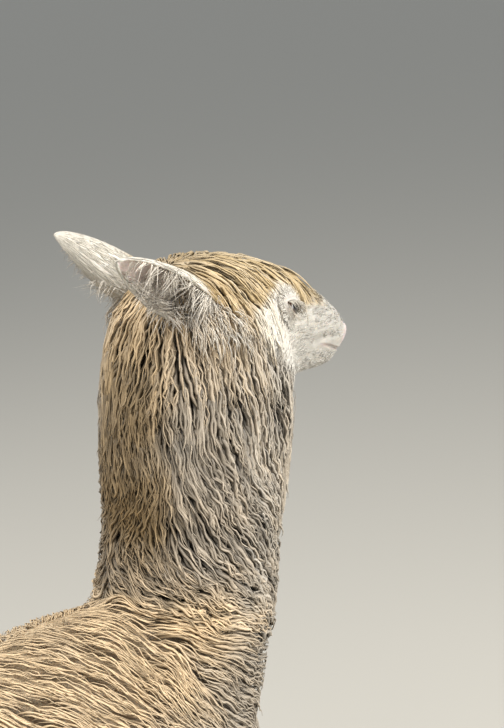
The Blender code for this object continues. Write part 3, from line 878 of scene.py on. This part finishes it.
on_part = {name: PART_OF_FACE == number for number, name in enumerate(FLESH)}
whorl = norms(in_head(MIDDLE) - WHORL)
hollow = norms(np.abs(MIDDLE) - SHOULDER_HOLLOW)
filled = 1 + 3.0 * bell(hollow, 0.040) + 2.0 * bell(whorl, 0.022)
parting = 1 + 0.8 * bell(MIDDLE[:, 0] - PARTING, 0.03) * (MIDDLE[:, 2] > 0.6)
parting *= 1 + 0.5 * ramp(MIDDLE[:, 2], 0.60, 0.68)
parting *= 1 + 1.3 * ramp(-MIDDLE[:, 1], 0.16, 0.26) * ramp(-MIDDLE[:, 2], -0.70, -0.60)
ear_feet = [np.array(ear_point(sign, 0.1, 0, 0)) for sign in (-1, 1)]
ear_gap = np.min([norms(MIDDLE - foot) for foot in ear_feet], axis=0)
round_ears = 1 + 2.2 * ramp(-ear_gap, -0.080, -0.035)


def neck_chart(points):
    return charted(np.arctan2(np.abs(points[:, 0]), points[:, 1] - NECK_SPINE), points[:, 2])


def trunk_chart(points):
    return charted(np.arctan2(np.abs(points[:, 0]), points[:, 2] - TRUNK_SPINE), points[:, 1])


def head_chart(points):
    head = in_head(points)
    return charted(np.arctan2(head[:, 0], head[:, 2] + 0.05), head[:, 1])


def upright_chart(across, ahead):
    return lambda points: charted(np.arctan2(points[:, 0] - across, points[:, 1] - ahead), points[:, 2])


for side, sign in (("right", -1), ("left", 1)):
    half = MIDDLE[:, 0] * sign >= 0
    for end, where in (("upper", MIDDLE[:, 2] >= NECK_HALFWAY), ("lower", MIDDLE[:, 2] < NECK_HALFWAY)):
        weight = COVER * on_part["neck"] * half * where * round_ears * filled
        grow(f"neck_fleece_{end}_{side}", weight, NECK_LOCKS, 11, neck_chart, bunching=0.80, contrast=1.15,
             fine=0.20)
    for end, where, count, rings in (("fore", MIDDLE[:, 1] < TRUNK_HALFWAY, FORE_LOCKS, 12),
                                     ("hind", MIDDLE[:, 1] >= TRUNK_HALFWAY, HIND_LOCKS, 10)):
        weight = COVER * on_part["trunk"] * half * where * parting * filled
        grow(f"flank_fleece_{end}_{side}", weight, count, 12, trunk_chart, rings=rings,
             curl=times(0.6, crimp), girth=times(0.76, lock_girth), contrast=0.18, flat=0.29, fine=0.40)

weight = COVER * on_part["head"] * (THICK > 0.004) * round_ears * filled
grow("crown_fleece", weight, CROWN_LOCKS, 13, head_chart, rings=13, girth=times(0.85, lock_girth),
     bunching=0.52, contrast=0.58, flat=0.5)
grow("tail_fleece", COVER * on_part["tail"], TAIL_LOCKS, 14, upright_chart(0, TAIL_SPINE), rings=13,
     length=times(1.2, lock_length))
for name in FLESH[4:]:
    low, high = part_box(name)
    chart = upright_chart((low.x + high.x) / 2, (low.y + high.y) / 2)
    grow(name.replace("leg", "leg_fleece"), COVER * on_part[name], LEG_LOCKS, 15, chart, rings=7,
         length=lambda points, depth: 0.020 + 3.2 * depth, girth=lambda points, depth: 0.0034 + 0.12 * depth,
         contrast=0.45, flat=0.45)

# ---- hair of the face ----
# White hair that lies flat, from the nose back over the cheeks, and outwards on the lids. It is longest where
# it meets the fleece. Nose and mouth are left bare, so there the bump of the hide stands for it.
FACE_HAIRS, LID_HAIRS = 5000, 1000
FACE_GIRTH, LID_GIRTH, LID_LENGTH = 0.0009, 0.0007, 0.0052


def back_from_nose(points, _):
    head = in_head(points)
    down = -0.55 - 2.0 * ramp(head[:, 1], -0.12, -0.06)
    return np.stack([0.25 * np.sign(head[:, 0]), np.ones(len(head)), down], 1) @ HEAD_AXES.T


def face_length(points, depth):
    y = in_head(points)[:, 1]
    return 0.0095 + 1.2 * depth + 0.010 * ramp(y, -0.11, -0.05) - 0.0050 * ramp(-y, 0.13, 0.18)


def off_the_eye(points, _):
    """Away from the open eye, on both sides of the head."""
    way_off = np.zeros_like(points)
    for side, sign in SIGNS.items():
        look, off = eye_axes(sign)[0], points - SOCKETS[side]
        mine = in_head(points)[:, 0] * sign > 0
        way_off[mine] = (off - (off @ look)[:, None] * look)[mine]
    return way_off


head_middle = in_head(MIDDLE)
bare = (head_middle[:, 1] < -0.198) | (from_eyes(MIDDLE) < EYE + 0.0012) | (white_of_face(MIDDLE) < 0.5)
mouth = (np.abs(head_middle[:, 2] + 0.056) < 0.007) & (head_middle[:, 1] < -0.155)
weight = on_part["head"] * (THICK < 0.010) * ~bare * ~mouth
grow("face_hair", weight * (1 + 1.6 * ramp(head_middle[:, 1], -0.14, -0.08)), FACE_HAIRS, 16, head_chart,
     flow=back_from_nose, curl=same(0.0), length=face_length, girth=same(FACE_GIRTH), rings=3, stray=0,
     fine=0, bunching=0.5, contrast=0.22)

lids = np.zeros(len(MIDDLE), bool)
for side, sign in SIGNS.items():
    look, front, up = eye_axes(sign)
    off = MIDDLE - SOCKETS[side]
    reach = norms(off)
    opening = (off @ front / reach / 0.76) ** 2 + (off @ up / reach / 0.42) ** 2
    lids |= (reach < EYE + 0.0035) & (off @ look > 0.15 * reach) & (opening > 1)
grow("lid_hair", lids * 1.0, LID_HAIRS, 18, head_chart, flow=off_the_eye, curl=same(0.0),
     length=same(LID_LENGTH), girth=same(LID_GIRTH), rings=3, stray=0, fine=0, bunching=0.35, contrast=0.22,
     proud=0.0026)

# ---- ears' hair ----
# The backs carry short cream fur towards the tip. Long white hairs spring from the rims and the root across
# the cup, and the longest hang from the foot of the ear over the locks below.
FUR, RIM_HAIR, WISP = 0.013, 0.024, 0.034  # lengths
FUR_HAIRS, TUFTS, TUFT_HAIRS, WISPS = 900, 250, 5, 230
HAIR_STEPS = np.linspace(0, 1, 5)


def hairs_piece(name, hairs, taper, flat, corners):
    """Joins single hairs into one piece. Each has its places, outward direction, girth, colour and chart."""
    places, outs, girths, tones, charts = (np.array(column) for column in zip(*hairs))
    wide = girths[:, None] * np.array(taper)
    outs = np.repeat(outs[:, None], len(HAIR_STEPS), axis=1)
    tones = np.repeat(tones[:, None], len(HAIR_STEPS), axis=1)
    # The corners' factors paint a hair's crest lighter and its sides darker: painted highlight and painted
    # shade.
    colour = tones[:, :, None] * np.array(corners)[None, None, :, None]
    tubes(name, places, outs, wide, wide * flat, colour, charted(*charts.T))


def ear_hair(side):
    sign, rng, hairs = SIGNS[side], np.random.default_rng(17), []
    turn_of = np.array(ear_frame(sign).to_3x3())
    for _ in range(FUR_HAIRS):
        share, turn = rng.uniform(0.02, 0.97) ** 0.85, rng.uniform(-1, 1)
        grown = FUR * rng.uniform(0.7, 1.3) / EAR_LENGTH
        drift = rng.normal() * 0.04
        line = [ear_point(sign, min(share + grown * t, 1.0), np.clip(turn + drift * t, -1, 1),
                          EAR_OUT * (1.25 - 1.2 * t)) for t in HAIR_STEPS]
        out = ear_point(sign, share, turn, -0.005) - ear_point(sign, share, turn, 0.0)
        foot = float(ramp(share, 0.46, 0.26) * ramp(-turn * sign, -0.3, 0.2))
        tone = WHITE * (1 - foot) + DUN * foot
        hairs.append((line, out.normalized(), 0.0013 * rng.uniform(0.7, 1.3),
                      tone * rng.uniform(0.80, 1.08) * (1, 0.985, 0.95), (turn, share)))
    for _ in range(TUFTS):
        rim = rng.uniform() < 0.45
        if rim:
            turn = sign * rng.choice([-1, 1], p=[0.3, 0.7]) * rng.uniform(0.78, 1.0)
        else:
            turn = rng.uniform(-0.8, 0.8)
        share = rng.uniform(0.0, 0.88) if rim else rng.uniform(-0.08, 0.66)
        inward = Vector((-math.copysign(0.8, turn) * rng.uniform(0.4, 1.2), -0.35, rng.uniform(-0.2, 0.7)))
        if not rim:
            low, high = (0.5, 1.1) if share > 0.1 else (-0.6, 0.8)
            inward = Vector((rng.normal() * 0.35, -0.55, rng.uniform(low, high)))
        heading = turn_of @ np.array(inward.normalized())
        grown = RIM_HAIR * rng.uniform(0.6, 1.2) * (1 - 0.5 * max(share, 0)) * (1 if rim else 1.25)
        bend = np.array((0, 0, -0.50)) + rng.normal(size=3) * 0.30
        for _ in range(TUFT_HAIRS):
            root = ear_point(sign, share + 0.02 * rng.normal(), turn + 0.06 * rng.normal(), EAR_IN)
            own = heading + 0.16 * rng.normal(size=3)
            size = grown * rng.uniform(0.7, 1.15)
            line = [np.array(root) + size * (own * t + bend * t * t) for t in HAIR_STEPS]
            # These hairs are painted up to a third brighter than white, varied at random: painted light in
            # the shaded cup.
            hairs.append((line, turn_of @ np.array((0.1, -1, 0)), 0.0009 * rng.uniform(0.6, 1.3),
                          WHITE * rng.uniform(1.0, 1.35) * (1, 0.97, 0.94), (turn, share)))
    for _ in range(WISPS):
        turn, share = sign * rng.uniform(0.1, 1.0), rng.uniform(-0.06, 0.20)
        root = np.array(ear_point(sign, share, turn, 0.0005))
        away = (0.5 * rng.normal(), -0.8 * rng.uniform(-0.3, 1), rng.uniform(-0.3, 0.3))
        away = turn_of @ np.array(away)
        size = WISP * rng.uniform(0.5, 1.2)
        tip = root + size * (0.40 * away + 0.12 * rng.normal(size=3)) + (0, 0, -0.75 * size)
        over_tip, out, _ = on_outline(tip[None])
        tip = over_tip[0] + out[0] * 0.0015
        middle = (root + tip) / 2
        over_middle, out, _ = on_outline(middle[None])
        crest = 2 * (over_middle[0] + out[0] * 0.004) - middle
        line = [root * (1 - t) ** 2 + 2 * t * (1 - t) * crest + tip * t * t for t in HAIR_STEPS]
        girth = 0.0018 * rng.uniform(0.6, 1.3)
        tone = mix(STRAW, WHITE, [rng.uniform(0.4, 1.0)])[0] * rng.uniform(0.85, 1.15)
        hairs.append((line, out[0], girth, tone, (turn, share)))
    # Ear hairs get a painted highlight on the crest and painted shade on the sides.
    hairs_piece(f"ear_hair_{side}", hairs, (0.8, 1.0, 0.85, 0.55, 0.18), 0.7, (1.04, 0.86, 0.86))


for side in "lr":
    ear_hair(side)

# ---- eyes ----
# A large dark wet globe with a low cornea, a brown iris and a level slot of a pupil. The lids hold it in its
# socket, and only the slit between them shows.
EYE_RINGS, EYE_SEGMENTS = 40, 56
IRIS, PUPIL_LONG, PUPIL_HIGH = 0.62, 0.40, 0.20  # in eye radii from the middle of the iris
IRIS_RAYS = 420.0  # in a metre, 2.4 mm each
GLOBE, BROWN, PUPIL_BLACK = (linear(code) for code in ("#2a211c", "#4a3222", "#050506"))

eye_look, tree, shader = material("wet_eye", **{
    "Roughness": 0.08, "IOR": 1.38, "Coat Weight": 1.0, "Coat Roughness": 0.03})
where = node(tree, "TexCoord").outputs["Object"]
rays = node(tree, "TexNoise", {"Vector": where}, Scale=IRIS_RAYS, Detail=2.0)
shade = node(tree, "MapRange", {"Value": rays}, **MOSTLY, **{"To Min": 0.75, "To Max": 1.25})
tinted(tree, shader, shade)

for side, sign in SIGNS.items():
    globe = bmesh.new()
    bmesh.ops.create_uvsphere(globe, u_segments=EYE_SEGMENTS, v_segments=EYE_RINGS, radius=EYE - 0.0002)
    look, front, up = (Vector(axis) for axis in eye_axes(sign))
    for vert in globe.verts:
        out = vert.co.normalized()
        vert.co *= 1 + 0.05 * float(ramp(out.z, 0.80, 0.97))
    turn = Matrix((front, look.cross(front), look)).transposed().to_4x4()
    globe.transform(Matrix.Translation(EYE_SIDE[side]) @ turn)
    bmesh.ops.recalc_face_normals(globe, faces=globe.faces)
    eyeball = object_of(globe, f"eyeball_{side}")
    away = unit(np.array([vert.co for vert in eyeball.data.vertices]) - SOCKETS[side])
    ahead, across, high = away @ np.array(look), away @ np.array(front), away @ np.array(up)
    from_middle = np.hypot(across, high)
    tone = mix(GLOBE, BROWN, ramp(-from_middle, -IRIS - 0.04, -IRIS) * (ahead > 0))
    slot = (across / PUPIL_LONG) ** 2 + (high / PUPIL_HIGH) ** 2
    tone = mix(tone, PUPIL_BLACK, ramp(-slot, -1.25, -0.85) * (ahead > 0))
    give_tint(eyeball.data, tone)
    eyeball.data.shade_smooth()
    eyeball.data.materials.append(eye_look)
    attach(eyeball, "root")
    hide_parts(f"eye_{side}")

# ---- lashes ----
# Long pale hairs, thickest at the root. They stand out from the edge of the upper lid and droop over the eye,
# with shorter ones along the lower lid.
LASHES = ((1, 80, 0.0105), (-1, 36, 0.005))  # which lid, how many and how long


def lashes(side):
    rng, hairs = np.random.default_rng(18), []
    centre, (look, front, up) = SOCKETS[side], eye_axes(SIGNS[side])
    for lid, count, grown in LASHES:
        for i in range(count):
            x = -SLIT + 2 * SLIT * (i + rng.uniform()) / count
            y = lid * (SLIT_UP if lid > 0 else SLIT_DOWN) * (1 - (x / SLIT) ** 2)
            out = look * math.sqrt(max(1 - x * x - y * y, 0.05)) + front * x + up * y
            root = centre + out * (EYE + 0.8 * LID) + up * lid * 0.0006
            towards = 0.9 * look + 0.35 * lid * up + 0.5 * x * front - 0.25 * HEAD_AXES[:, 2]
            droop = -0.55 * HEAD_AXES[:, 2] + 0.12 * rng.normal(size=3)
            size = grown * rng.uniform(0.7, 1.2)
            line = [root + size * (towards * t + droop * t * t) for t in HAIR_STEPS]
            hairs.append((line, up * lid, 0.00075 * rng.uniform(0.7, 1.2),
                          WHITE * rng.uniform(0.75, 1.0) * (1, 0.96, 0.90), (x + 2 * lid, y)))
    hairs_piece(f"lashes_{side}", hairs, (1.0, 0.9, 0.75, 0.5, 0.2), 0.8, (1, 1, 1))


for side in "lr":
    lashes(side)

# ---- toenails ----
# Two blunt claws of brown horn at the front of each foot, one at the end of each toe, with fine growth ridges
# across them in darker and paler horn.
HORN_RIDGES = (260, 900, 900)  # in a metre, 3.8 mm long and 1.1 mm apart
HORN_DARK, HORN_PALE = "#3a3128", "#7a6a56"

horn_look, tree, shader = material("toenail_horn", Roughness=0.42)
where = node(tree, "TexCoord").outputs["Object"]
growth = node(tree, "Mapping", {"Vector": where}, Scale=HORN_RIDGES)
ridges = node(tree, "TexNoise", {"Vector": growth}, Scale=1.0, Detail=3.0)
horn = node(tree, "ValToRGB", {"Fac": ridges})
for stop, place, code in zip(horn.color_ramp.elements, (0.3, 0.7), (HORN_DARK, HORN_PALE)):
    stop.position, stop.color = place, (*linear(code), 1)
raised = node(tree, "Bump", {"Height": ridges}, Strength=0.4, Distance=0.0005)
tree.links.new(horn.outputs[0], shader.inputs["Base Color"])
tree.links.new(raised.outputs[0], shader.inputs["Normal"])

for name in sorted(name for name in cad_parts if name.startswith("nail_")):
    nail_bm = bmesh.new()
    nail_bm.from_mesh(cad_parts[name].data)
    bmesh.ops.remove_doubles(nail_bm, verts=nail_bm.verts, dist=1e-5)
    bmesh.ops.recalc_face_normals(nail_bm, faces=nail_bm.faces)
    nail = object_of(nail_bm, name.replace("nail", "toenail"))
    smooth = nail.modifiers.new("smooth", "SUBSURF")
    smooth.levels = smooth.render_levels = 2
    nail.data.shade_smooth()
    nail.data.materials.append(horn_look)
    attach(nail, "root")
    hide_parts(name)

# ---- floor and light ----
# A plain pale floor without end under a pale sky, and soft light from five large panels: the key from above
# and beside, the others to fill the shadows and edge the coat.
STUDIO_FLOOR, SKY, SKY_STRENGTH = (*linear("#b5afa3"), 1), (0.85, 0.92, 1.0, 1), 0.55

floor_bm = bmesh.new()
bmesh.ops.create_grid(floor_bm, x_segments=1, y_segments=1, size=60)
floor = object_of(floor_bm, "floor")
floor.data.materials.append(material("studio_floor", **{"Base Color": STUDIO_FLOOR, "Roughness": 0.8})[0])

world = bpy.data.worlds.new("studio")
world.use_nodes = True
sky = world.node_tree.nodes["Background"].inputs
sky["Color"].default_value, sky["Strength"].default_value = SKY, SKY_STRENGTH
bpy.context.scene.world = world
bpy.context.scene.view_settings.view_transform = "Standard"
TARGET = Vector((0, -0.25, 0.85))
for name, place, size, power in (("key", (-1.9, -1.0, 2.9), 1.2, 95), ("top", (-0.3, 0.9, 3.2), 1.5, 50),
                                 ("fill", (-2.4, 2.0, 1.6), 2.0, 14), ("front", (-2.6, -1.5, 0.8), 1.6, 44),
                                 ("rim", (2.2, 0.4, 2.2), 1.5, 35)):
    lamp = placed(name, bpy.data.lights.new(name, "AREA"))
    lamp.data.size, lamp.data.energy = size, power
    lamp.location = place
    lamp.rotation_euler = (TARGET - Vector(place)).to_track_quat("-Z", "Y").to_euler()
